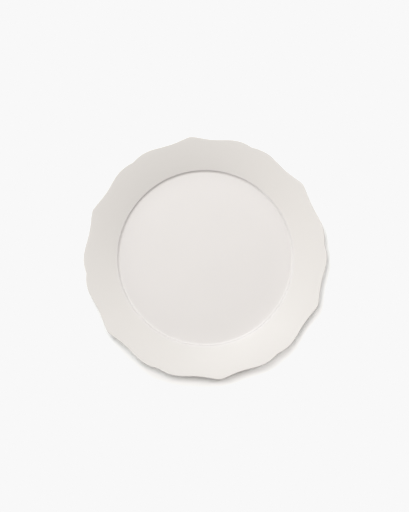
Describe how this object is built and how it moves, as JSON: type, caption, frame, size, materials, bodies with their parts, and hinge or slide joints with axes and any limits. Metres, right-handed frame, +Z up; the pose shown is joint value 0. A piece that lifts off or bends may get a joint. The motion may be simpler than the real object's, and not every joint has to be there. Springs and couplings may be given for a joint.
{
  "type": "dinner plate",
  "caption": "Round glazed ceramic dinner plate with a flat stepped-down well, a wide sloping rim with a scalloped, pointed lip, and a bare foot ring underneath.",
  "frame": {"origin": "on the table, under the middle of the plate", "axes": "+Z up out of the well, +Y through one of the points of the lip"},
  "size_m": [0.2672, 0.27, 0.0153],
  "materials": {
    "clay": "matte",
    "glaze": "satin"
  },
  "bodies": {
    "root": {"clay_body": "clay", "glaze_coat": "glaze", "base_glaze": "glaze"}
  },
  "joints": []
}
